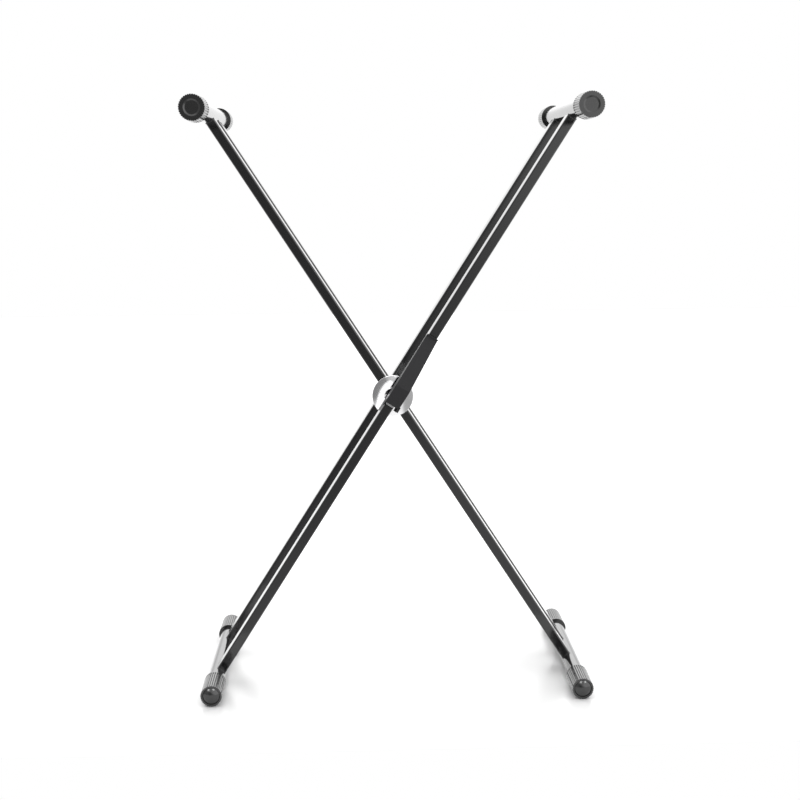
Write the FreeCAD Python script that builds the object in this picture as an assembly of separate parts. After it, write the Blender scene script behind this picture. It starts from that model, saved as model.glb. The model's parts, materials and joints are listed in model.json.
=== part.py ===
import FreeCAD, Part
import math
import os

# Folding keyboard stand: two X frames braced by double rails, folding on one cross axis.
# Millimetres. +Z up, +X to the right seen from the lever side, +Y away from the lever side.
# The origin lies on the floor, midway between the feet and midway along the cross tubes.

Vector = FreeCAD.Vector

# ---------------------------------------------------------------- driving dimensions
# Arms, measured from the pivot along the rails
arm_lean = 32.7             # degrees between an arm and the vertical, as the stand is set up
upper_reach = 516.0         # pivot to the axis of a top tube
lower_reach = 523.0         # pivot to the axis of a foot tube
foot_tube_offset = 1.5      # the foot tubes sit this far outside the rails' centre line

# Rails: rectangular tube
rail_width = 15.0           # across the arm
rail_depth = 30.0           # along the cross tubes
rail_wall = 1.2
rail_corner = 2.2
inner_rail_place = 35.0     # middle of the stand to the centre of an inner rail

# Cross tubes: round tube
top_tube_diameter = 30.0
top_tube_span = 424.0
top_tube_wall = 1.5
foot_tube_diameter = 25.4
foot_tube_span = 338.0
foot_tube_wall = 1.5

# End caps: ribbed rubber mouldings
cap_wall = 3.6              # around the tube at the closed end
cap_draft = 0.5             # how much wider the mouth is than the closed end, in radius
cap_rim = 2.5               # plain band at the mouth
cap_rib_depth = 1.0
cap_rib_land = 0.5          # flat top of a rib, as a share of the pitch
top_cap_ribs = 35
top_cap_length = 49.5
top_cap_end = 3.5           # thickness of the closed end
top_cap_recess = 12.0       # radius of the round recess in the face
top_cap_recess_depth = 0.7
top_cap_recess_slope = 2.4  # width of the recess's sloping side
foot_cap_ribs = 32
foot_cap_length = 60.0
foot_cap_end = 4.0
foot_cap_dome = 13.2        # radius of the dome in the end face
foot_cap_dome_rise = 4.2
foot_cap_groove = 1.2       # depth of the ring round the dome

# Hub: two plates with a lining between them, clamped by a spindle
hub_disc_diameter = 64.0
outer_disc_thickness = 3.0
outer_disc_crown = 2.1      # how far the face falls away towards the edge
outer_disc_seat = 13.0      # radius of the flat middle
disc_edge_round = 1.0
lining_thickness = 1.2
lining_outer_diameter = 59.0
lining_bore = 26.0
inner_disc_thickness = 3.0
spindle_diameter = 8.0
spindle_tail = 2.5          # thread left standing out of the nut
bush_diameter = 10.5
release_spring_diameter = 22.0
release_spring_stock = 0.6

# Nuts, washers and the plain pivot of the far side
nut_across_flats = 13.0
nut_height = 8.0
nut_collar_height = 2.2
nut_collar_diameter = 12.0
washer_diameter = 17.0
washer_thickness = 1.6
far_spacer_diameter = 30.0
far_head_diameter = 15.0
far_head_height = 4.6
far_head_socket = 5.0       # across flats
far_head_socket_depth = 2.6
far_head_bevel = 1.8        # height of the bevel round the head

# Clamp lever: tapered channel pressed from sheet, with a cam block inside
lever_sheet = 1.5
lever_tip = 114.3           # pivot axis to the end of the lip
lever_lip = 4.5
lever_lip_rise = 3.5
lever_tip_height = 6.0      # outside of the channel above the rail, at the tip
lever_fold = 24.0           # pivot axis to the fold between handle and hood
lever_hood_height = 19.5
lever_crest = 4.0           # pivot axis to the bend where the hood turns back
lever_heel = 7.6            # pivot axis to the lower edge of the hood
lever_heel_height = 15.2
lever_left_edge = 10.3      # outer faces, measured from the rail's centre line
lever_right_edge = 13.5
lever_tip_right_edge = 8.5
cheek_drop = 7.0            # how far the cheeks reach down beside the rail
cheek_foot = 14.5           # pivot axis to the lower end of the cheeks
cheek_foot_height = 7.0     # top of that end above the rail
cheek_shoulder = 22.0       # pivot axis to the upper end of the deep part of the cheeks
cheek_slope = 14.0          # length over which the deep part runs out
ear_left = 9.0              # inner edge of the ear, from the rail's centre line
ear_right = 16.6
ear_height = 9.0
ear_thickness = 1.5
ear_stand_off = 1.5         # back of the ear above the rail

# Cam
cam_pin_diameter = 6.0
cam_pin_head = 0.9          # peened over outside each cheek
cam_pin_head_diameter = 8.5
cam_radius = 8.0            # pin axis to the contact, lever closed
cam_throw = 0.8             # how much the radius shrinks over the full swing
cam_swing = 80.0            # degrees the lever swings open
cam_lead = 25.0             # degrees of curve before the closed contact
cam_tail = 15.0             # degrees of curve after the open contact
cam_bridge = 9.0            # pin axis to the end of the bridge between the cam's halves
cam_bridge_chamfer = 1.5
cam_pad_thickness = 2.0
cam_pad_length = 24.0
eye_radius = 5.3
eye_width = 6.0

# Clearances
running_fit = 0.08          # radial, shafts in bores
contact_gap = 0.25          # between curved faces that bear on each other
side_gap = 0.3              # beside a piece that turns or slides
hole_clearance = 0.3        # radial, bolts through sheet

# ---------------------------------------------------------------- derived places
hub_gap = outer_disc_thickness + lining_thickness + inner_disc_thickness
outer_rail_place = inner_rail_place + rail_depth + hub_gap
outer_rail_face = outer_rail_place + rail_depth / 2
outer_rail_back = outer_rail_place - rail_depth / 2
inner_rail_face = inner_rail_place + rail_depth / 2
inner_rail_back = inner_rail_place - rail_depth / 2
top_tube_radius = top_tube_diameter / 2
foot_tube_radius = foot_tube_diameter / 2
spindle_radius = spindle_diameter / 2
foot_cap_mouth = foot_tube_radius + cap_wall + cap_draft
lean = math.radians(arm_lean)
foot_drop = lower_reach * math.cos(lean) - foot_tube_offset * math.sin(lean)
pivot_height = foot_drop + foot_cap_mouth
cam_pin_height = cam_pad_thickness + contact_gap + cam_radius
bore_radius = spindle_radius + running_fit
X_AXIS = Vector(1, 0, 0)
Y_AXIS = Vector(0, 1, 0)
Z_AXIS = Vector(0, 0, 1)


# ---------------------------------------------------------------- building blocks
def cylinder_y(radius, start, length, x=0.0, z=0.0):
    """Round bar along Y, from y = start."""
    return Part.makeCylinder(radius, length, Vector(x, start, z), Y_AXIS)


def ring_y(outer, bore, start, length, x=0.0, z=0.0):
    """Round tube along Y."""
    ring = cylinder_y(outer, start, length, x, z)
    return ring.cut(cylinder_y(bore, start - 1, length + 2, x, z))


def face_of(points):
    """Flat face inside a closed run of straight edges."""
    return Part.Face(Part.makePolygon(points + [points[0]]))


def rounded_rectangle(width, depth, corner):
    """Face in the XY plane, centred on the origin, with round corners."""
    block = Part.makeBox(width, depth, 1, Vector(-width / 2, -depth / 2, 0))
    upright = [edge for edge in block.Edges if abs(edge.tangentAt(edge.FirstParameter).z) > 0.9]
    block = block.makeFillet(corner, upright)
    return next(face for face in block.Faces if abs(face.CenterOfMass.z) < 1e-6)


def revolve_y(outline):
    """Solid turned about the Y axis from (radius, y) points."""
    return face_of([Vector(radius, y, 0) for radius, y in outline]).revolve(Vector(), Y_AXIS, 360)


def hexagon_y(across_flats, start, length):
    """Hexagonal bar along Y."""
    corner = across_flats / math.sqrt(3)
    points = []
    for index in range(6):
        angle = math.radians(60 * index)
        points.append(Vector(corner * math.cos(angle), start, corner * math.sin(angle)))
    return face_of(points).extrude(Y_AXIS * length)


def mirror_y(shape):
    return shape.mirror(Vector(), Y_AXIS)


def place_arm(shape, side):
    """Lean a piece drawn on an upright arm; side is +1 for the outer arm, -1 for the inner."""
    leaned = shape.copy()
    leaned.rotate(Vector(), Y_AXIS, side * arm_lean)
    leaned.translate(Vector(0, 0, pivot_height))
    return leaned


# ---------------------------------------------------------------- frames
def cross_tube(radius, wall, span, x, z):
    return ring_y(radius, radius - wall, -span / 2, span, x, z)


def rail(place, side):
    """One rail on an upright arm, hollow, with both ends coped to their tubes."""
    length = upper_reach + lower_reach
    outside = rounded_rectangle(rail_width, rail_depth, rail_corner)
    inside = rounded_rectangle(rail_width - 2 * rail_wall, rail_depth - 2 * rail_wall, rail_corner - rail_wall)
    tube = outside.cut(inside).extrude(Z_AXIS * length)
    tube.translate(Vector(0, place, -lower_reach))
    start = -rail_depth
    top = cylinder_y(top_tube_radius, place + start, 2 * rail_depth, 0, upper_reach)
    foot = cylinder_y(foot_tube_radius, place + start, 2 * rail_depth, -side * foot_tube_offset, -lower_reach)
    pivot_hole = cylinder_y(spindle_radius + hole_clearance, place + start, 2 * rail_depth)
    return tube.cut(top).cut(foot).cut(pivot_hole)


def rail_bush(place):
    """Sleeve between a rail's walls, so that the clamp doesn't crush it."""
    length = rail_depth - 2 * rail_wall
    return ring_y(bush_diameter / 2, bore_radius, place - length / 2, length)


# ---------------------------------------------------------------- end caps
def ribbed_outline(ribs, radius, y):
    """Closed outline of flat-topped ribs round the Y axis."""
    pitch = 2 * math.pi / ribs
    half_land = pitch * cap_rib_land / 2
    points = []
    for index in range(ribs):
        middle = index * pitch
        groove = middle + pitch / 2
        for angle, reach in (
            (middle - half_land, radius),
            (middle + half_land, radius),
            (groove, radius - cap_rib_depth),
        ):
            points.append(Vector(reach * math.cos(angle), y, reach * math.sin(angle)))
    return Part.makePolygon(points + [points[0]])


def cap_blank(tube_radius, length, ribs):
    """Ribbed cup round a tube: mouth at y = 0, closed end at y = -length, not yet bored."""
    end_radius = tube_radius + cap_wall
    mouth_radius = end_radius + cap_draft
    mouth = ribbed_outline(ribs, mouth_radius, -cap_rim)
    end = ribbed_outline(ribs, end_radius, -length)
    sleeve = Part.makeLoft([mouth, end], True, True)
    return sleeve.fuse(cylinder_y(mouth_radius, -cap_rim, cap_rim))


def top_cap():
    """Cap of a top tube, with a round recess in its face."""
    blank = cap_blank(top_tube_radius, top_cap_length, top_cap_ribs)
    bore = cylinder_y(top_tube_radius, -top_cap_length + top_cap_end, top_cap_length)
    recess = Part.makeCone(
        top_cap_recess,
        top_cap_recess - top_cap_recess_slope,
        top_cap_recess_depth,
        Vector(0, -top_cap_length, 0),
        Y_AXIS,
    )
    return blank.cut(bore).cut(recess)


def foot_cap():
    """Cap of a foot tube, with a dome inside a plain rim."""
    blank = cap_blank(foot_tube_radius, foot_cap_length, foot_cap_ribs)
    bore = cylinder_y(foot_tube_radius, -foot_cap_length + foot_cap_end, foot_cap_length)
    groove = cylinder_y(foot_cap_dome, -foot_cap_length, foot_cap_groove)
    ball_radius = (foot_cap_dome ** 2 + foot_cap_dome_rise ** 2) / (2 * foot_cap_dome_rise)
    floor = -foot_cap_length + foot_cap_groove
    ball = Part.makeSphere(ball_radius, Vector(0, floor - foot_cap_dome_rise + ball_radius, 0))
    dome = ball.common(cylinder_y(foot_cap_dome, floor - foot_cap_dome_rise, foot_cap_dome_rise))
    return blank.cut(bore).cut(groove).fuse(dome).removeSplitter()


def cap_pair(cap, length, end, span, x, z):
    """The near and the far cap of one tube, seated on the tube's ends."""
    near = cap.copy()
    near.translate(Vector(x, -span / 2 - end + length, z))
    return near, mirror_y(near)


# ---------------------------------------------------------------- hub
def outer_hub_disc():
    """Pressed plate on the outer rail: flat seat, crowned face, rolled edge."""
    radius = hub_disc_diameter / 2
    front = -outer_rail_back
    face_edge = radius - disc_edge_round
    ball_radius = (face_edge ** 2 + outer_disc_crown ** 2) / (2 * outer_disc_crown)
    plate = cylinder_y(radius, front, outer_disc_thickness)
    ball = Part.makeSphere(ball_radius, Vector(0, front + ball_radius, 0))
    plate = plate.common(ball)
    seat = cylinder_y(outer_disc_seat, front, outer_disc_thickness)
    bore = cylinder_y(bore_radius, front - 1, outer_disc_thickness + 2)
    return plate.fuse(seat).cut(bore)


def inner_hub_disc():
    start = -inner_rail_face - inner_disc_thickness
    return ring_y(hub_disc_diameter / 2, bore_radius, start, inner_disc_thickness)


def lining_ring():
    start = -outer_rail_back + outer_disc_thickness
    return ring_y(lining_outer_diameter / 2, lining_bore / 2, start, lining_thickness)


def release_spring():
    """Coned washer in the lining's bore: it parts the plates when the clamp opens."""
    start = -outer_rail_back + outer_disc_thickness
    outer = release_spring_diameter / 2
    inner = spindle_radius + hole_clearance
    rise = lining_thickness - release_spring_stock
    outline = [
        (inner, start),
        (outer, start + rise),
        (outer, start + lining_thickness),
        (inner, start + release_spring_stock),
    ]
    return revolve_y(outline)


def lock_nut(start):
    """Nut with a locking collar, its seat at y = start, bored for the bolt."""
    body = hexagon_y(nut_across_flats, start, nut_height - nut_collar_height)
    collar_start = start + nut_height - nut_collar_height
    collar = cylinder_y(nut_collar_diameter / 2, collar_start, nut_collar_height)
    bore = cylinder_y(spindle_radius, start - 1, nut_height + 2)
    return body.fuse(collar).cut(bore)


def washer(start):
    return ring_y(washer_diameter / 2, spindle_radius, start, washer_thickness)


def near_nut_seat():
    return -inner_rail_back


def clamp_spindle():
    """Spindle through the near hub: an eye for the cam pin, a flattened neck, a plain shank."""
    eye_centre = -outer_rail_face - cam_pin_height
    end = near_nut_seat() + washer_thickness + nut_height + spindle_tail
    shank_start = -outer_rail_face - cam_pad_thickness
    shank = cylinder_y(spindle_radius, shank_start, end - shank_start)
    neck = cylinder_y(spindle_radius, eye_centre, shank_start - eye_centre)
    flats = Part.makeBox(eye_width, cam_pin_height, spindle_diameter)
    flats.translate(Vector(-eye_width / 2, eye_centre, -spindle_radius))
    neck = neck.common(flats)
    eye = Part.makeCylinder(eye_radius, eye_width, Vector(-eye_width / 2, eye_centre, 0), X_AXIS)
    hole = Part.makeCylinder(
        cam_pin_diameter / 2,
        4 * eye_width,
        Vector(-2 * eye_width, eye_centre, 0),
        X_AXIS,
    )
    return shank.fuse([neck, eye]).cut(hole).removeSplitter()


def cam_pad():
    """Hard plate on the rail's face that the cam rides on."""
    start = -outer_rail_face - cam_pad_thickness
    pad = rounded_rectangle(rail_width - 1, cam_pad_length, rail_corner).extrude(Z_AXIS * cam_pad_thickness)
    pad.rotate(Vector(), X_AXIS, -90)
    pad.translate(Vector(0, start, 0))
    return pad.cut(cylinder_y(spindle_radius + side_gap, start - 1, cam_pad_thickness + 2))


# ---------------------------------------------------------------- clamp lever
def lever_point(along, height):
    """Point of the lever's side view: along the rail, and above its face."""
    return Vector(0, -outer_rail_face - height, along)


def across(profile, start, end):
    """Side-view profile carried across the rail from x = start to x = end."""
    solid = face_of(profile).extrude(X_AXIS * (end - start))
    solid.translate(Vector(start, 0, 0))
    return solid


def hood_line():
    """Outside of the pressed channel in side view, from the lip to the heel."""
    lip_foot = lever_tip - lever_lip
    return [
        (lever_tip, lever_tip_height + lever_lip_rise),
        (lip_foot, lever_tip_height),
        (lever_fold, lever_hood_height),
        (lever_crest, lever_hood_height),
        (-lever_heel, lever_heel_height),
    ]


def offset_line(line, distance):
    """The same line moved inwards by the sheet's thickness, with mitred corners."""
    moved = []
    for index, point in enumerate(line):
        before = line[max(index - 1, 0)]
        after = line[min(index + 1, len(line) - 1)]
        normals = []
        for start, end in ((before, point), (point, after)):
            run = math.hypot(end[0] - start[0], end[1] - start[1])
            if run > 0:
                normals.append(((end[1] - start[1]) / run, -(end[0] - start[0]) / run))
        normal_x = sum(normal[0] for normal in normals) / len(normals)
        normal_y = sum(normal[1] for normal in normals) / len(normals)
        stretch = distance / (normal_x ** 2 + normal_y ** 2)
        moved.append((point[0] - normal_x * stretch, point[1] - normal_y * stretch))
    return moved


def lever_plate():
    """The channel's front wall, tapered from the hub to the tip."""
    outside = hood_line()
    inside = offset_line(outside, lever_sheet)
    profile = [lever_point(*point) for point in outside + inside[::-1]]
    wall = across(profile, -2 * lever_right_edge, 2 * lever_right_edge)
    low = -2 * lever_heel
    outline = face_of([
        Vector(-lever_left_edge, 0, low),
        Vector(lever_right_edge, 0, low),
        Vector(lever_right_edge, 0, lever_fold),
        Vector(lever_tip_right_edge, 0, lever_tip),
        Vector(-lever_left_edge, 0, lever_tip),
    ])
    depth = outer_rail_face + 4 * lever_hood_height
    return wall.common(outline.extrude(-Y_AXIS * depth))


def flange_profile(foot):
    """Side view of a flange: shallow along the handle, deep beside the hub."""
    line = hood_line()
    lip_foot = line[1][0]
    rest = side_gap
    points = [(lip_foot, line[1][1]), (lip_foot, rest), (cheek_shoulder + cheek_slope, rest)]
    if foot:
        points += [(cheek_shoulder, -cheek_drop), (-cheek_foot, -cheek_drop)]
        points += [(-cheek_foot, cheek_foot_height)]
    else:
        points += [(lever_fold, rest)]
        return [lever_point(*point) for point in points + [(lever_fold, line[2][1])]]
    points += line[:1:-1]
    return [lever_point(*point) for point in points]


def left_flange():
    return across(flange_profile(True), -lever_left_edge, -lever_left_edge + lever_sheet)


def right_cheek():
    """Straight part of the right flange, beside the hub."""
    limit = Part.makeBox(
        4 * lever_sheet,
        4 * outer_rail_face,
        lever_fold + 4 * cheek_foot,
        Vector(lever_right_edge - 2 * lever_sheet, -2 * outer_rail_face, -4 * cheek_foot),
    )
    cheek = across(flange_profile(True), lever_right_edge - lever_sheet, lever_right_edge)
    return cheek.common(limit)


def right_flange():
    """Shallow part of the right flange, which follows the taper to the tip."""
    run = lever_tip - lever_fold
    step = lever_right_edge - lever_tip_right_edge
    taper = math.degrees(math.atan2(step, run))
    flange = across(flange_profile(False), lever_right_edge - lever_sheet, lever_right_edge)
    flange.rotate(Vector(lever_right_edge, 0, lever_fold), Y_AXIS, -taper)
    return flange


def lever_ear():
    """Flat tab across the foot of the right cheek."""
    return Part.makeBox(
        ear_right - ear_left,
        ear_thickness,
        ear_height,
        Vector(ear_left, -outer_rail_face - ear_stand_off - ear_thickness, -cheek_foot),
    )


def cam_pin_bar(radius, start, end):
    height = -outer_rail_face - cam_pin_height
    return Part.makeCylinder(radius, end - start, Vector(start, height, 0), X_AXIS)


def clamp_lever():
    channel = lever_plate().fuse([left_flange(), right_cheek(), right_flange(), lever_ear()])
    hole = cam_pin_bar(cam_pin_diameter / 2, -2 * lever_left_edge, 2 * lever_right_edge)
    return channel.cut(hole).removeSplitter()


def under_hood():
    """Side-view region below the hood's inner face."""
    line = offset_line(hood_line()[2:], lever_sheet)
    reach = 4 * lever_heel
    first = line[0]
    last = line[-1]
    slope = (line[-2][1] - last[1]) / (line[-2][0] - last[0])
    tail = (last[0] - reach, last[1] - slope * reach)
    points = [(first[0], -reach), first] + line[1:-1] + [tail, (tail[0], -reach)]
    return across([lever_point(*point) for point in points], -reach, reach)


def cam_block():
    """Cam between the cheeks: its radius shrinks steadily as the lever swings open."""
    centre_y = -outer_rail_face - cam_pin_height
    points = []
    last = cam_swing + cam_tail
    count = 14
    for index in range(count + 1):
        angle = -cam_lead + (last + cam_lead) * index / count
        radius = cam_radius - cam_throw * angle / cam_swing
        turn = math.radians(angle)
        points.append(Vector(0, centre_y + radius * math.cos(turn), -radius * math.sin(turn)))
    curve = Part.BSplineCurve()
    curve.interpolate(points)
    top_y = centre_y - lever_hood_height
    corners = [
        points[-1],
        Vector(0, top_y, points[-1].z),
        Vector(0, top_y, cam_bridge),
        Vector(0, points[0].y - cam_bridge_chamfer, cam_bridge),
        points[0],
    ]
    wire = Part.Wire([curve.toShape()] + Part.makePolygon(corners).Edges)
    width = lever_left_edge + lever_right_edge - 2 * lever_sheet
    block = Part.Face(wire).extrude(X_AXIS * width)
    block.translate(Vector(-lever_left_edge + lever_sheet, 0, 0))
    slot_width = eye_width + 2 * side_gap
    slot_depth = 6 * cam_radius
    slot = Part.makeBox(slot_width, slot_depth, slot_depth)
    slot.translate(Vector(-slot_width / 2, centre_y - slot_depth / 2, eye_radius + side_gap - slot_depth))
    hole = cam_pin_bar(cam_pin_diameter / 2, -2 * lever_left_edge, 2 * lever_right_edge)
    return block.common(under_hood()).cut(slot).cut(hole)


def cam_pin():
    start = -lever_left_edge
    pin = cam_pin_bar(cam_pin_diameter / 2, start, lever_right_edge)
    left_head = cam_pin_bar(cam_pin_head_diameter / 2, start - cam_pin_head, start)
    right_head = cam_pin_bar(cam_pin_head_diameter / 2, lever_right_edge, lever_right_edge + cam_pin_head)
    return pin.fuse([left_head, right_head])


# ---------------------------------------------------------------- far pivot
def far_pivot_bolt():
    end = inner_rail_back - washer_thickness - nut_height - spindle_tail
    shank = cylinder_y(spindle_radius, end, outer_rail_face - end)
    plain = far_head_height - far_head_bevel
    radius = far_head_diameter / 2
    outline = [
        (0, outer_rail_face),
        (radius, outer_rail_face),
        (radius, outer_rail_face + plain),
        (radius - far_head_bevel, outer_rail_face + far_head_height),
        (0, outer_rail_face + far_head_height),
    ]
    head = revolve_y(outline)
    socket_start = outer_rail_face + far_head_height - far_head_socket_depth
    socket = hexagon_y(far_head_socket, socket_start, far_head_height)
    return shank.fuse(head).cut(socket)


def far_spacer():
    return ring_y(far_spacer_diameter / 2, bore_radius, inner_rail_face, hub_gap)


# ---------------------------------------------------------------- assembly
def frame_nodes(side, arm, place):
    """Rails, tubes and caps of one arm."""
    foot_x = -side * foot_tube_offset
    nodes = {
        arm + "_rail_near": rail(-place, side),
        arm + "_rail_far": rail(place, side),
        arm + "_top_tube": cross_tube(top_tube_radius, top_tube_wall, top_tube_span, 0, upper_reach),
        arm + "_foot_tube": cross_tube(foot_tube_radius, foot_tube_wall, foot_tube_span, foot_x, -lower_reach),
        arm + "_rail_bush_near": rail_bush(-place),
        arm + "_rail_bush_far": rail_bush(place),
    }
    top_caps = cap_pair(top_cap(), top_cap_length, top_cap_end, top_tube_span, 0, upper_reach)
    foot_caps = cap_pair(foot_cap(), foot_cap_length, foot_cap_end, foot_tube_span, foot_x, -lower_reach)
    nodes[arm + "_top_cap_near"], nodes[arm + "_top_cap_far"] = top_caps
    nodes[arm + "_foot_cap_near"], nodes[arm + "_foot_cap_far"] = foot_caps
    return nodes


def build():
    outer = frame_nodes(1, "outer", outer_rail_place)
    outer["outer_hub_disc"] = outer_hub_disc()
    outer["clutch_lining"] = lining_ring()
    outer["release_spring"] = release_spring()
    outer["cam_pad"] = cam_pad()
    outer["clamp_spindle"] = clamp_spindle()
    outer["spindle_washer"] = washer(near_nut_seat())
    outer["spindle_nut"] = lock_nut(near_nut_seat() + washer_thickness)
    outer["clamp_lever"] = clamp_lever()
    outer["lever_cam"] = cam_block()
    outer["cam_pin"] = cam_pin()
    outer["far_pivot_bolt"] = far_pivot_bolt()
    outer["far_spacer"] = far_spacer()
    outer["far_pivot_washer"] = washer(inner_rail_back - washer_thickness)
    outer["far_pivot_nut"] = mirror_y(lock_nut(near_nut_seat() + washer_thickness))
    inner = frame_nodes(-1, "inner", inner_rail_place)
    inner["inner_hub_disc"] = inner_hub_disc()
    placed = {name: place_arm(shape, 1) for name, shape in outer.items()}
    placed.update({name: place_arm(shape, -1) for name, shape in inner.items()})
    return placed


os.makedirs("parts", exist_ok=True)
for name, shape in build().items():
    shape.exportStep("parts/" + name + ".step")
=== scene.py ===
import bpy
import json
import math
from mathutils import Matrix, Vector


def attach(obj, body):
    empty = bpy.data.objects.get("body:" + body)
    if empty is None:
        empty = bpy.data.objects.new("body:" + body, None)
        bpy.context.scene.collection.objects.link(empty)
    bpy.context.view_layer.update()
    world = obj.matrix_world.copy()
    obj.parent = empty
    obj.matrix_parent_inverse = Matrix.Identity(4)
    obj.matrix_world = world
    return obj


# Folding keyboard stand in black gloss coat, set up on a white floor. Metres, +Z up.
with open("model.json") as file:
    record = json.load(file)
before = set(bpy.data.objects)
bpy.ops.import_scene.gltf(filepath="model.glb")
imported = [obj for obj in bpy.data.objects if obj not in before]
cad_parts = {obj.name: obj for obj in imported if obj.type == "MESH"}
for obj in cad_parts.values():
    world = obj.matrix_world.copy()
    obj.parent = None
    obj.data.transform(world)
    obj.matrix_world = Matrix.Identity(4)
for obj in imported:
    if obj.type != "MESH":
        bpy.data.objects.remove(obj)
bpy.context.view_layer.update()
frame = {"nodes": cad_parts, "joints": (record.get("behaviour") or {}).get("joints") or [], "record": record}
nodes = frame["nodes"]

MILLIMETRE = 0.001

# ---------------------------------------------------------------- sizes shared with the frame
ARM_LEAN = math.radians(32.7)
UPPER_REACH = 0.516           # hub to top tube, along an arm
LOWER_REACH = 0.523           # hub to foot tube, along an arm
FOOT_TUBE_OFFSET = 0.0015     # foot tube from the arm's middle line
RAIL_WIDTH = 0.015
RAIL_DEPTH = 0.030
RAIL_CORNER = 0.0022
OUTER_RAIL_PLACE = 0.0722     # middle of a rail from the stand's middle plane
INNER_RAIL_PLACE = 0.035
TOP_TUBE_RADIUS = 0.015
FOOT_TUBE_RADIUS = 0.0127
PIVOT_HEIGHT = frame["joints"][0]["pos_m"][2]
NUT_END = 0.0104              # free faces of the hub's nuts, from the stand's middle plane
TAIL_END = 0.0079             # ends of the bolt tails, from the same plane

# ---------------------------------------------------------------- light and floor
# The room is a world whose level depends on direction, with 1 as white. Directions are the X, Y
# and Z of a unit vector, and a ramp goes from its first number to its second.
ROOM_LEVEL = 0.25                      # dimmest part of the room in front of the stand
RIGHT_TILT = -0.3                      # share of Z in the direction called right
RIGHT_RAMP, RIGHT_LIFT = (0.025, 0.175), 0.7
SLOPE_ACROSS, SLOPE_UP = 0.7, 0.9      # shares of X and Z in the direction called upper right
HIGH_RAMP, HIGH_LIFT = (0.0, 0.09), 0.4
TOP_CORNER_RAMP, TOP_CORNER_LIFT = (0.12, 0.19), 0.9
LEFT_RAMP, LEFT_LIFT = (-0.25, -0.55), 0.4
GROUND_RAMP, GROUND_LIFT = (-0.15, -0.42), 0.9
PATCH_IN, PATCH_OUT, PATCH_DOWN = (0.14, 0.19), (0.3, 0.4), (-0.02, -0.1)
PATCH_LIFT = 0.19                      # level of the dim patch at the lower right
WALL_RAMP, WALL_LOW, WALL_HIGH = (0.08, 0.45), 1.08, 2.8
ROOM_TO_WALL = (-0.35, 0.3)            # Y, from the room in front to the wall behind

FLOOR_FRONT, FLOOR_BACK, FLOOR_HALF_WIDTH = -0.34, 6, 5
FLOOR_GREY = 0.505
FLOOR_GLOW = 0.3                       # for the camera only, so that floor and surround are one white
FLOOR_GLOW_RAMP = (0.2, 0.8)
FLOOR_BEFORE = 0.6                     # grey of the floor before the feet, as gloss mirrors it
FLOOR_BEFORE_RAMP = (0.1, -0.1)

HUB_CARD_PLACE = (-0.063, -0.65, 0.362)
HUB_CARD_AIM = (-0.063, 0.0, 0.362)
FOOT_CARD_SIZE = 0.2
FOOT_CARD_POWER = 1.3
FOOT_CARDS = (
    ("outer_foot_cap_near", "left", (-0.70, -0.895, 0.52)),
    ("outer_foot_cap_near", "right", (-0.048, -0.945, 0.608)),
    ("inner_foot_cap_near", "left", (0.138, -0.965, 0.592)),
    ("inner_foot_cap_near", "right", (0.71, -0.88, 0.57)),
)

CAMERA_FROM_HUB = (-0.050342, -2.129497, 0.328502)
CAMERA_YAW, CAMERA_PITCH, CAMERA_ROLL = 0.029602, 0.160022, 0.009691
CAMERA_LENS, CAMERA_SENSOR = 60.625, 36.0
CAMERA_FAR_END = 50.0

# ---------------------------------------------------------------- surfaces and fine shapes
BEVEL_SAMPLES = 6
COAT_BUMP_DEPTH = 0.001
FINE_BUMP_DEPTH = 0.0003
DUST_COLOUR = (0.55, 0.54, 0.52, 1.0)
DUST_ON_SIDES = 0.15                   # share of the dust that upright faces keep
DUST_CLEAR, DUST_FULL = 0.42, 0.75     # part of the noise that breaks the dust up
MIDDLE_LOW, MIDDLE_HIGH = 0.3, 0.7     # part of a noise's range that changes colour or gloss
PLASTIC_IOR = 1.5

WELD_RADIUS = 0.85 * MILLIMETRE
WELD_AROUND = 8
WELD_RIPPLE, WELD_DRIFT = 0.10, 0.08   # shares of the radius
THREAD_PITCH = 1.25 * MILLIMETRE
THREAD_ROOT = 4.02 * MILLIMETRE
THREAD_CREST = 4.22 * MILLIMETRE
THREAD_AROUND = 40
THREAD_ROWS = 6
THREAD_FLANK = 1.6                     # how steeply the ridge rises to its flat crest
THREAD_END_GAP = 0.2 * MILLIMETRE


# ---------------------------------------------------------------- shader helpers
def new_group(name, inputs, outputs):
    """Empty shader node group with named sockets; returns it with its input and output nodes."""
    tree = bpy.data.node_groups.new(name, "ShaderNodeTree")
    for label, kind, value in inputs:
        socket = tree.interface.new_socket(label, in_out="INPUT", socket_type=kind)
        socket.default_value = value
    for label, kind in outputs:
        tree.interface.new_socket(label, in_out="OUTPUT", socket_type=kind)
    return tree, tree.nodes.new("NodeGroupInput"), tree.nodes.new("NodeGroupOutput")


def place(tree, kind, **values):
    """New node with its settings; names with a capital letter are input sockets."""
    node = tree.nodes.new(kind)
    for key, value in values.items():
        if key[0].isupper():
            node.inputs[key.replace("_", " ")].default_value = value
        else:
            setattr(node, key, value)
    return node


def feed(tree, value, socket):
    """Give an input socket a number or the output of another node."""
    if isinstance(value, (int, float)):
        socket.default_value = value
    else:
        tree.links.new(value, socket)


def sum_up(tree, operation, first, second, clamp=False):
    """Maths node; either side may be a socket or a number."""
    node = place(tree, "ShaderNodeMath", operation=operation, use_clamp=clamp)
    feed(tree, first, node.inputs[0])
    feed(tree, second, node.inputs[1])
    return node.outputs[0]


def spread(tree, value, low, high, start, end, ends="LINEAR"):
    """Value carried from the range low..high to start..end."""
    node = place(
        tree, "ShaderNodeMapRange", interpolation_type=ends,
        From_Min=low, From_Max=high, To_Min=start, To_Max=end)
    tree.links.new(value, node.inputs["Value"])
    return node.outputs["Result"]


def ramp(tree, value, low, high, start, end):
    """The same with soft ends."""
    return spread(tree, value, low, high, start, end, "SMOOTHSTEP")


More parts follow.
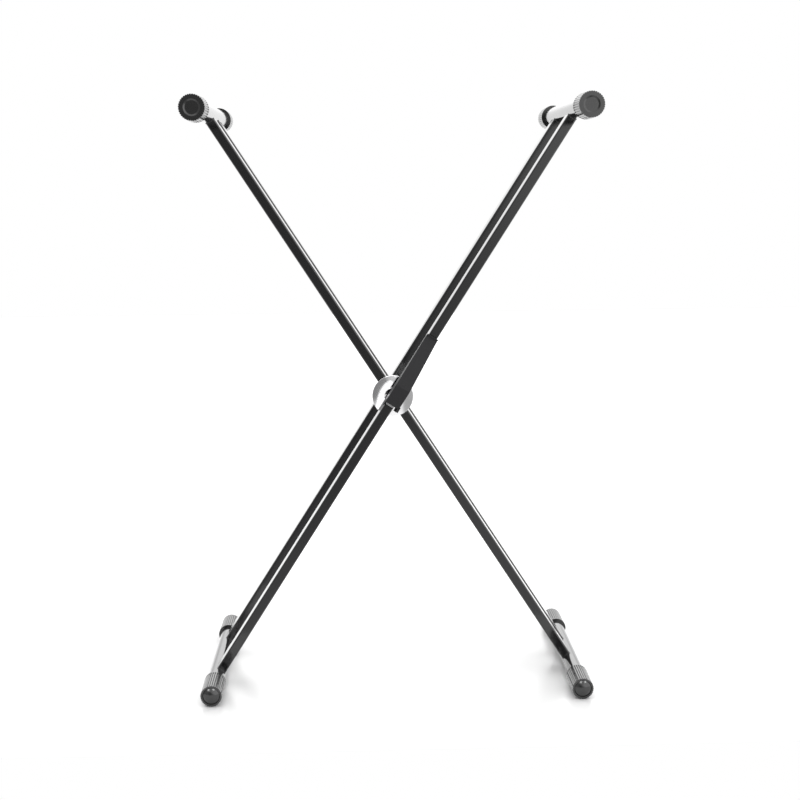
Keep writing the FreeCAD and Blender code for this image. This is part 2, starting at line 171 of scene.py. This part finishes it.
def middle_part(tree, value):
    """Middle of a noise's range, stretched to 0..1."""
    return spread(tree, value, MIDDLE_LOW, MIDDLE_HIGH, 0.0, 1.0)


def blend(tree, share, first, second):
    """Number between two, each a socket or a number."""
    node = place(tree, "ShaderNodeMix", data_type="FLOAT")
    feed(tree, share, node.inputs[0])
    feed(tree, first, node.inputs[2])
    feed(tree, second, node.inputs[3])
    return node.outputs[0]


def mix_colours(tree, share, first, second):
    """Colour between a socket's colour and a second one, a socket or a plain colour."""
    node = place(tree, "ShaderNodeMix", data_type="RGBA")
    tree.links.new(share, node.inputs["Factor"])
    tree.links.new(first, node.inputs[6])
    if isinstance(second, tuple):
        node.inputs[7].default_value = second
    else:
        tree.links.new(second, node.inputs[7])
    return node.outputs[2]


def parts_of(tree, vector):
    """X, Y and Z of a vector, as the outputs of a node."""
    node = place(tree, "ShaderNodeSeparateXYZ")
    tree.links.new(vector, node.inputs["Vector"])
    return node.outputs


def noise(tree, vector, **values):
    """Noise texture; its height is in the output Fac."""
    node = place(tree, "ShaderNodeTexNoise", **values)
    tree.links.new(vector, node.inputs["Vector"])
    return node


def soft_edged_bump(tree, height, strength, depth, edge_radius):
    """Bump on top of edges that are rounded a little."""
    edge = place(tree, "ShaderNodeBevel", samples=BEVEL_SAMPLES)
    tree.links.new(edge_radius, edge.inputs["Radius"])
    bump = place(tree, "ShaderNodeBump", Distance=depth)
    tree.links.new(strength, bump.inputs["Strength"])
    tree.links.new(height, bump.inputs["Height"])
    tree.links.new(edge.outputs["Normal"], bump.inputs["Normal"])
    return bump.outputs["Normal"]


def orange_peel_group():
    """Skin of a sprayed coat: a low, rounded ripple on soft edges, and a slow change of gloss."""
    tree, given, result = new_group(
        "orange_peel",
        [("Ripple Size", "NodeSocketFloat", 300.0), ("Ripple Height", "NodeSocketFloat", 0.02),
         ("Edge Radius", "NodeSocketFloat", 0.0005)],
        [("Normal", "NodeSocketVector"), ("Gloss Change", "NodeSocketFloat")],
    )
    where = place(tree, "ShaderNodeTexCoord").outputs["Object"]
    ripple = noise(tree, where, Detail=1.0, Roughness=0.4)
    tree.links.new(given.outputs["Ripple Size"], ripple.inputs["Scale"])
    normal = soft_edged_bump(
        tree, ripple.outputs["Fac"], given.outputs["Ripple Height"], COAT_BUMP_DEPTH,
        given.outputs["Edge Radius"])
    slow = noise(tree, where, Scale=18.0, Detail=4.0)
    tree.links.new(normal, result.inputs["Normal"])
    tree.links.new(middle_part(tree, slow.outputs["Fac"]), result.inputs["Gloss Change"])
    return tree


def settled_dust_group():
    """Thin dust: more on faces that look up, broken up by a fine noise."""
    tree, given, result = new_group(
        "settled_dust",
        [("Colour", "NodeSocketColor", (0.0, 0.0, 0.0, 1.0)), ("Amount", "NodeSocketFloat", 0.02)],
        [("Colour", "NodeSocketColor")],
    )
    where = place(tree, "ShaderNodeTexCoord").outputs["Object"]
    shape = place(tree, "ShaderNodeNewGeometry")
    upward = parts_of(tree, shape.outputs["Normal"])["Z"]
    facing = spread(tree, upward, 0.0, 1.0, DUST_ON_SIDES, 1.0)
    speck = noise(tree, where, Scale=260.0, Detail=6.0, Roughness=0.7)
    broken = spread(tree, speck.outputs["Fac"], DUST_CLEAR, DUST_FULL, 0.0, 1.0)
    mask = sum_up(
        tree, "MULTIPLY", sum_up(tree, "MULTIPLY", facing, broken), given.outputs["Amount"], True)
    dusty = mix_colours(tree, mask, given.outputs["Colour"], DUST_COLOUR)
    tree.links.new(dusty, result.inputs["Colour"])
    return tree


def metal_grain_group():
    """Marks of working on bare or plated metal: fine lines across one direction and faint blotches."""
    tree, given, result = new_group(
        "metal_grain",
        [("Line Scale", "NodeSocketVector", (900.0, 40.0, 900.0)),
         ("Line Height", "NodeSocketFloat", 0.05), ("Edge Radius", "NodeSocketFloat", 0.0003),
         ("Light", "NodeSocketColor", (0.6, 0.6, 0.61, 1.0)),
         ("Dark", "NodeSocketColor", (0.45, 0.45, 0.46, 1.0))],
        [("Colour", "NodeSocketColor"), ("Normal", "NodeSocketVector"),
         ("Gloss Change", "NodeSocketFloat")],
    )
    where = place(tree, "ShaderNodeTexCoord").outputs["Object"]
    stretch = place(tree, "ShaderNodeMapping")
    tree.links.new(where, stretch.inputs["Vector"])
    tree.links.new(given.outputs["Line Scale"], stretch.inputs["Scale"])
    lines = noise(tree, stretch.outputs["Vector"], Scale=1.0, Detail=3.0)
    normal = soft_edged_bump(
        tree, lines.outputs["Fac"], given.outputs["Line Height"], FINE_BUMP_DEPTH,
        given.outputs["Edge Radius"])
    blotch = noise(tree, where, Scale=60.0, Detail=5.0)
    colour = mix_colours(
        tree, middle_part(tree, blotch.outputs["Fac"]), given.outputs["Light"], given.outputs["Dark"])
    tree.links.new(colour, result.inputs["Colour"])
    tree.links.new(normal, result.inputs["Normal"])
    tree.links.new(lines.outputs["Fac"], result.inputs["Gloss Change"])
    return tree


def moulded_skin_group():
    """Skin of a moulding: a close grain, soft edges and a little unevenness of colour."""
    tree, given, result = new_group(
        "moulded_skin",
        [("Grain Scale", "NodeSocketFloat", 2500.0), ("Grain Height", "NodeSocketFloat", 0.05),
         ("Edge Radius", "NodeSocketFloat", 0.0003),
         ("Light", "NodeSocketColor", (0.03, 0.03, 0.03, 1.0)),
         ("Dark", "NodeSocketColor", (0.02, 0.02, 0.02, 1.0))],
        [("Colour", "NodeSocketColor"), ("Normal", "NodeSocketVector"),
         ("Gloss Change", "NodeSocketFloat")],
    )
    where = place(tree, "ShaderNodeTexCoord").outputs["Object"]
    grain = noise(tree, where, Detail=2.0)
    tree.links.new(given.outputs["Grain Scale"], grain.inputs["Scale"])
    normal = soft_edged_bump(
        tree, grain.outputs["Fac"], given.outputs["Grain Height"], FINE_BUMP_DEPTH,
        given.outputs["Edge Radius"])
    cloud = noise(tree, where, Scale=45.0, Detail=4.0)
    change = middle_part(tree, cloud.outputs["Fac"])
    colour = mix_colours(tree, change, given.outputs["Light"], given.outputs["Dark"])
    tree.links.new(colour, result.inputs["Colour"])
    tree.links.new(normal, result.inputs["Normal"])
    tree.links.new(change, result.inputs["Gloss Change"])
    return tree


ORANGE_PEEL = orange_peel_group()
SETTLED_DUST = settled_dust_group()
METAL_GRAIN = metal_grain_group()
MOULDED_SKIN = moulded_skin_group()


def use_group(tree, group, **values):
    """A group as a node of a material, with its settings."""
    node = place(tree, "ShaderNodeGroup", node_tree=group)
    for key, value in values.items():
        node.inputs[key.replace("_", " ")].default_value = value
    return node


def new_material(name, **sockets):
    """Material with one Principled shader, its steady values set on the shader's own sockets."""
    material = bpy.data.materials.new(name)
    material.use_nodes = True
    tree = material.node_tree
    shader = tree.nodes["Principled BSDF"]
    for key, value in sockets.items():
        shader.inputs[key.replace("_", " ")].default_value = value
    return material, tree, shader


def grey(value, blue=1.0):
    """Grey with a little more or less blue."""
    return (value, value, value * blue, 1.0)


def put_on(tree, shader, colour, skin, low, high):
    """Colour, relief and gloss of a surface; low and high are the ends of its roughness."""
    tree.links.new(colour, shader.inputs["Base Color"])
    tree.links.new(skin.outputs["Normal"], shader.inputs["Normal"])
    roughness = spread(tree, skin.outputs["Gloss Change"], 0.0, 1.0, low, high)
    tree.links.new(roughness, shader.inputs["Roughness"])


# ---------------------------------------------------------------- finishes
def sprayed_coat(name, colour, low, high, coat, specular, ripple, dust, edge_radius):
    """Black coat over steel; coat is the weight of a clear top layer."""
    material, tree, shader = new_material(
        name, IOR=PLASTIC_IOR, Specular_IOR_Level=specular, Coat_Weight=coat, Coat_Roughness=0.1,
        Coat_IOR=PLASTIC_IOR)
    skin = use_group(
        tree, ORANGE_PEEL, Ripple_Size=320.0, Ripple_Height=ripple, Edge_Radius=edge_radius)
    fall = use_group(tree, SETTLED_DUST, Colour=grey(colour, 1.05), Amount=dust)
    put_on(tree, shader, fall.outputs["Colour"], skin, low, high)
    return material


def cap_moulding():
    """Semi-gloss black end caps."""
    material, tree, shader = new_material(
        "cap_moulding", IOR=PLASTIC_IOR, Coat_Weight=0.35, Coat_Roughness=0.12, Coat_IOR=PLASTIC_IOR)
    skin = use_group(
        tree, MOULDED_SKIN, Grain_Scale=1500.0, Grain_Height=0.03, Edge_Radius=0.0001,
        Light=grey(0.009), Dark=grey(0.006))
    fall = use_group(tree, SETTLED_DUST, Amount=0.015)
    tree.links.new(skin.outputs["Colour"], fall.inputs["Colour"])
    put_on(tree, shader, fall.outputs["Colour"], skin, 0.16, 0.22)
    return material


def metal(name, line_scale, line_height, edge_radius, light, dark, low, high):
    """Plated, zinc or oiled steel with fine marks."""
    material, tree, shader = new_material(name, Metallic=1.0)
    grain = use_group(
        tree, METAL_GRAIN, Line_Scale=line_scale, Line_Height=line_height, Edge_Radius=edge_radius,
        Light=light, Dark=dark)
    put_on(tree, shader, grain.outputs["Colour"], grain, low, high)
    return material


def turned_metal(name, light, dark, low, high):
    """Metal with turning marks."""
    return metal(name, (300.0, 3500.0, 300.0), 0.12, 0.0003, light, dark, low, high)


def plain_moulding(name, light, dark, grain_scale, grain_height, low, high):
    """Nylon or pressed fibre without a top layer."""
    material, tree, shader = new_material(name, IOR=PLASTIC_IOR)
    skin = use_group(
        tree, MOULDED_SKIN, Grain_Scale=grain_scale, Grain_Height=grain_height, Edge_Radius=0.0002,
        Light=light, Dark=dark)
    put_on(tree, shader, skin.outputs["Colour"], skin, low, high)
    return material


FINISHES = {
    "black_gloss_coat": sprayed_coat(
        "black_gloss_coat", 0.008, low=0.10, high=0.16, coat=1.0, specular=0.1, ripple=0.012,
        dust=0.008, edge_radius=0.0006),
    "lever_coat": sprayed_coat(
        "lever_coat", 0.022, low=0.30, high=0.38, coat=0.0, specular=0.1, ripple=0.03,
        dust=0.012, edge_radius=0.0002),
    "cap_rubber": cap_moulding(),
    "plated_plate": metal(
        "bright_plate", (400.0, 400.0, 400.0), 0.006, 0.0005, grey(0.86, 1.01), grey(0.8, 1.01),
        0.05, 0.11),
    "zinc_steel": turned_metal("zinc_steel", grey(0.66, 1.02), grey(0.52, 1.02), 0.22, 0.36),
    "spring_steel": turned_metal("spring_steel", grey(0.38), grey(0.28), 0.3, 0.42),
    "black_nylon": plain_moulding("black_nylon", grey(0.035), grey(0.025), 1800.0, 0.1, 0.42, 0.52),
    "friction_lining": plain_moulding(
        "friction_lining", (0.15, 0.12, 0.1, 1.0), (0.08, 0.065, 0.055, 1.0), 900.0, 0.4, 0.8, 0.95),
}


def dress(piece, slot):
    """Give a piece its finish and nothing else."""
    piece.data.materials.clear()
    piece.data.materials.append(FINISHES[slot])


for part in frame["record"]["subparts"]:
    dress(nodes[part["node"]], part["material_slot"])


# ---------------------------------------------------------------- small details
def on_arm(point, side):
    """Point of an upright arm in the frame of the stand.

    The point is given across the arm, along the cross tubes and along the arm.
    """
    turn = Matrix.Rotation(side * ARM_LEAN, 4, "Y")
    return turn @ Vector(point) + Vector((0, 0, PIVOT_HEIGHT))


def smooth_mesh(name, points, faces, slot, body):
    """Smooth piece from points and faces, in its finish and on its body."""
    mesh = bpy.data.meshes.new(name)
    mesh.from_pydata([tuple(point) for point in points], [], faces)
    mesh.validate()
    mesh.shade_smooth()
    piece = bpy.data.objects.new(name, mesh)
    bpy.context.scene.collection.objects.link(piece)
    dress(piece, slot)
    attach(piece, body)
    return piece


def rail_outline(per_corner=6, per_side=14):
    """Points round a rail's section, evenly enough spaced for a bead."""
    half_width = RAIL_WIDTH / 2 - RAIL_CORNER
    half_depth = RAIL_DEPTH / 2 - RAIL_CORNER
    centres = (
        (half_width, half_depth, 0), (-half_width, half_depth, 90),
        (-half_width, -half_depth, 180), (half_width, -half_depth, 270))

    def on_corner(centre, degrees):
        angle = math.radians(centre[2] + degrees)
        return (centre[0] + RAIL_CORNER * math.cos(angle), centre[1] + RAIL_CORNER * math.sin(angle))

    points = []
    for index, centre in enumerate(centres):
        points += [on_corner(centre, 90 * step / per_corner) for step in range(per_corner + 1)]
        last = points[-1]
        start = on_corner(centres[(index + 1) % len(centres)], 0)
        for step in range(1, per_side):
            share = step / per_side
            points.append((
                last[0] * (1 - share) + start[0] * share, last[1] * (1 - share) + start[1] * share))
    return points


def weld_bead(name, rail_place, tube_radius, tube_across, tube_along, towards, side, body):
    """Rippled bead round a rail's coped end, where it meets a cross tube."""
    path = []
    for x, y in rail_outline():
        reach = math.sqrt(max(tube_radius ** 2 - (x - tube_across) ** 2, 0.0))
        path.append(Vector((x, rail_place + y, tube_along - towards * reach)))
    count = len(path)
    points = []
    for index, centre in enumerate(path):
        along = (path[(index + 1) % count] - path[index - 1]).normalized()
        outward = Vector((centre.x, centre.y - rail_place, 0)).normalized()
        first = (outward - along * outward.dot(along)).normalized()
        second = along.cross(first)
        ripple = WELD_RIPPLE * math.sin(index * 2.1)
        drift = WELD_DRIFT * math.sin(index * 0.77 + rail_place * 90)
        radius = WELD_RADIUS * (1.0 + ripple + drift)
        for step in range(WELD_AROUND):
            angle = 2 * math.pi * step / WELD_AROUND
            offset = first * math.cos(angle) * radius + second * math.sin(angle) * radius
            points.append(on_arm(centre + offset, side))
    faces = []
    for index in range(count):
        here = index * WELD_AROUND
        there = (index + 1) % count * WELD_AROUND
        for step in range(WELD_AROUND):
            after = (step + 1) % WELD_AROUND
            faces.append((here + step, here + after, there + after, there + step))
    piece = smooth_mesh(name, points, faces, "black_gloss_coat", body)
    rounding = piece.modifiers.new("rounding", "SUBSURF")
    rounding.levels = 1
    rounding.render_levels = 1


for arm, side, rail_place in (("outer", 1, OUTER_RAIL_PLACE), ("inner", -1, INNER_RAIL_PLACE)):
    for end, sign in (("near", -1), ("far", 1)):
        weld_bead(
            f"{arm}_top_weld_{end}", sign * rail_place, TOP_TUBE_RADIUS, 0.0,
            UPPER_REACH, 1, side, f"{arm}_frame")
        weld_bead(
            f"{arm}_foot_weld_{end}", sign * rail_place, FOOT_TUBE_RADIUS, -side * FOOT_TUBE_OFFSET,
            -LOWER_REACH, -1, side, f"{arm}_frame")


def thread_tail(name, start, end, slot, body):
    """Rolled thread on the end of an 8 mm bolt, drawn as one ridged winding along Y."""
    length = abs(end - start)
    direction = 1 if end > start else -1
    total = int(length / THREAD_PITCH * THREAD_AROUND)
    points = []
    for index in range(total + 1):
        angle = 2 * math.pi * index / THREAD_AROUND
        shift = index / THREAD_AROUND * THREAD_PITCH
        for row in range(THREAD_ROWS + 1):
            share = row / THREAD_ROWS
            height = 1 - abs(2 * share - 1)
            radius = THREAD_ROOT + (THREAD_CREST - THREAD_ROOT) * min(1.0, THREAD_FLANK * height)
            y = max(min(shift + (share - 0.5) * THREAD_PITCH, length), 0.0)
            points.append(Vector((
                radius * math.cos(angle), start + direction * y,
                PIVOT_HEIGHT + radius * math.sin(angle))))
    faces = []
    for index in range(total):
        for row in range(THREAD_ROWS):
            corner = index * (THREAD_ROWS + 1) + row
            above = corner + THREAD_ROWS + 1
            faces.append((corner, corner + 1, above + 1, above))
    smooth_mesh(name, points, faces, slot, body)


thread_tail("spindle_thread", -NUT_END, -TAIL_END - THREAD_END_GAP, "zinc_steel", "spindle_set")
thread_tail("far_bolt_thread", NUT_END, TAIL_END + THREAD_END_GAP, "zinc_steel", "outer_frame")


# ---------------------------------------------------------------- floor, light and camera
def white_floor():
    """Glossy white floor that keeps a soft shadow; its brightness is that of the white surround."""
    mesh = bpy.data.meshes.new("floor")
    mesh.from_pydata([
        (-FLOOR_HALF_WIDTH, FLOOR_FRONT, 0), (FLOOR_HALF_WIDTH, FLOOR_FRONT, 0),
        (FLOOR_HALF_WIDTH, FLOOR_BACK, 0), (-FLOOR_HALF_WIDTH, FLOOR_BACK, 0)], [], [(0, 1, 2, 3)])
    floor = bpy.data.objects.new("floor", mesh)
    bpy.context.scene.collection.objects.link(floor)
    material, tree, shader = new_material(
        "white_floor", Base_Color=grey(FLOOR_GREY), Roughness=0.22, Specular_IOR_Level=0.2)
    ray = place(tree, "ShaderNodeLightPath")
    depth = parts_of(tree, place(tree, "ShaderNodeTexCoord").outputs["Object"])["Y"]

    # before the feet, gloss mirrors a dimmer floor than the one the camera sees
    dim = place(tree, "ShaderNodeBsdfDiffuse", Color=grey(FLOOR_BEFORE))
    mirrored = place(tree, "ShaderNodeMixShader")
    before = ramp(tree, depth, *FLOOR_BEFORE_RAMP, 0.0, 1.0)
    tree.links.new(
        sum_up(tree, "MULTIPLY", ray.outputs["Is Glossy Ray"], before), mirrored.inputs[0])
    tree.links.new(shader.outputs[0], mirrored.inputs[1])
    tree.links.new(dim.outputs[0], mirrored.inputs[2])

    # behind the feet, the camera sees the floor a little brighter than it is
    glow = place(tree, "ShaderNodeEmission")
    tree.links.new(
        ramp(tree, depth, *FLOOR_GLOW_RAMP, 0.0, FLOOR_GLOW), glow.inputs["Strength"])
    both = place(tree, "ShaderNodeAddShader")
    tree.links.new(shader.outputs[0], both.inputs[0])
    tree.links.new(glow.outputs[0], both.inputs[1])

    shown = place(tree, "ShaderNodeMixShader")
    tree.links.new(ray.outputs["Is Camera Ray"], shown.inputs[0])
    tree.links.new(mirrored.outputs[0], shown.inputs[1])
    tree.links.new(both.outputs[0], shown.inputs[2])
    tree.links.new(shown.outputs[0], tree.nodes["Material Output"].inputs["Surface"])
    mesh.materials.append(material)


def studio_world():
    """White to the camera; around the stand a white wall behind and a dimmer room in front."""
    world = bpy.data.worlds.new("studio")
    bpy.context.scene.world = world
    world.use_nodes = True
    tree = world.node_tree
    direction = parts_of(tree, place(tree, "ShaderNodeTexCoord").outputs["Generated"])
    across, depth, up = direction["X"], direction["Y"], direction["Z"]

    tilted = sum_up(tree, "ADD", across, sum_up(tree, "MULTIPLY", up, RIGHT_TILT))
    right = ramp(tree, tilted, *RIGHT_RAMP, ROOM_LEVEL, ROOM_LEVEL + RIGHT_LIFT)
    slope = sum_up(
        tree, "ADD", sum_up(tree, "MULTIPLY", across, SLOPE_ACROSS),
        sum_up(tree, "MULTIPLY", up, SLOPE_UP))
    high = sum_up(
        tree, "ADD", ramp(tree, slope, *HIGH_RAMP, 0.0, HIGH_LIFT),
        ramp(tree, slope, *TOP_CORNER_RAMP, 0.0, TOP_CORNER_LIFT))
    left = ramp(tree, across, *LEFT_RAMP, 0.0, LEFT_LIFT)
    room = sum_up(tree, "ADD", sum_up(tree, "ADD", right, high), left)
    ground = ramp(tree, up, *GROUND_RAMP, ROOM_LEVEL, ROOM_LEVEL + GROUND_LIFT)

    patch = sum_up(
        tree, "MULTIPLY", ramp(tree, across, *PATCH_IN, 0.0, 1.0),
        ramp(tree, up, *PATCH_DOWN, 0.0, 1.0))
    patch = sum_up(tree, "MULTIPLY", patch, ramp(tree, across, *PATCH_OUT, 1.0, 0.0))
    front = blend(tree, patch, sum_up(tree, "MAXIMUM", room, ground), ROOM_LEVEL + PATCH_LIFT)

    wall = ramp(tree, up, *WALL_RAMP, WALL_LOW, WALL_HIGH)
    behind = ramp(tree, depth, *ROOM_TO_WALL, 0.0, 1.0)
    level = blend(tree, behind, front, wall)
    ray = place(tree, "ShaderNodeLightPath")
    background = tree.nodes["Background"]
    background.inputs["Color"].default_value = grey(1.0)
    tree.links.new(
        blend(tree, ray.outputs["Is Camera Ray"], level, 1.0), background.inputs["Strength"])


def softbox(name, place_at, aim_at, width, height, power, shape, turn=0.0):
    """Soft lamp that the camera doesn't see."""
    light = bpy.data.lights.new(name, "AREA")
    light.shape = shape
    light.size = width
    light.size_y = height
    light.energy = power
    lamp = bpy.data.objects.new(name, light)
    bpy.context.scene.collection.objects.link(lamp)
    lamp.location = place_at
    lamp.rotation_euler = (Vector(aim_at) - Vector(place_at)).to_track_quat("-Z", "Y").to_euler()
    lamp.rotation_euler.rotate_axis("Z", math.radians(turn))
    lamp.visible_camera = False
    return lamp


def light_only(lamp, names):
    """Let a lamp light these pieces and no others."""
    lit = bpy.data.collections.new(lamp.name + "_lights")
    for name in names:
        lit.objects.link(nodes[name])
    lamp.light_linking.receiver_collection = lit


def middle_of(piece):
    """Middle of a piece's box, in the frame of the stand."""
    corners = [Vector(corner) for corner in piece.bound_box]
    return piece.matrix_world @ (sum(corners, Vector()) / len(corners))


def photograph_camera():
    """Camera at the photograph's place and angle."""
    data = bpy.data.cameras.new("camera")
    data.sensor_width = CAMERA_SENSOR
    data.lens = CAMERA_LENS
    data.clip_end = CAMERA_FAR_END
    camera = bpy.data.objects.new("camera", data)
    bpy.context.scene.collection.objects.link(camera)
    forward = Vector((
        math.sin(CAMERA_YAW) * math.cos(CAMERA_PITCH),
        math.cos(CAMERA_YAW) * math.cos(CAMERA_PITCH), -math.sin(CAMERA_PITCH)))
    level_right = Vector((math.cos(CAMERA_YAW), -math.sin(CAMERA_YAW), 0))
    level_down = forward.cross(level_right)
    right = level_right * math.cos(CAMERA_ROLL) + level_down * math.sin(CAMERA_ROLL)
    down = level_down * math.cos(CAMERA_ROLL) - level_right * math.sin(CAMERA_ROLL)
    turn = Matrix((right, -down, -forward)).transposed()
    x, y, above_hub = CAMERA_FROM_HUB
    camera.matrix_world = Matrix.Translation((x, y, PIVOT_HEIGHT + above_hub)) @ turn.to_4x4()
    bpy.context.scene.camera = camera


white_floor()
studio_world()
softbox(
    "overhead", (0.0, 0.3, 2.9), (0.0, 0.0, 0.4), width=2.4, height=2.4, power=26.0,
    shape="RECTANGLE")
hub_card = softbox(
    "disc_card", HUB_CARD_PLACE, HUB_CARD_AIM, width=0.14, height=0.34, power=0.12,
    shape="ELLIPSE", turn=-22.4)
light_only(hub_card, ("outer_hub_disc", "inner_hub_disc"))
for cap, side, place_at in FOOT_CARDS:
    foot_card = softbox(
        f"{cap}_{side}_card", place_at, middle_of(nodes[cap]), width=FOOT_CARD_SIZE,
        height=FOOT_CARD_SIZE, power=FOOT_CARD_POWER, shape="RECTANGLE")
    light_only(foot_card, (cap,))
photograph_camera()
bpy.context.scene.view_settings.view_transform = "Standard"
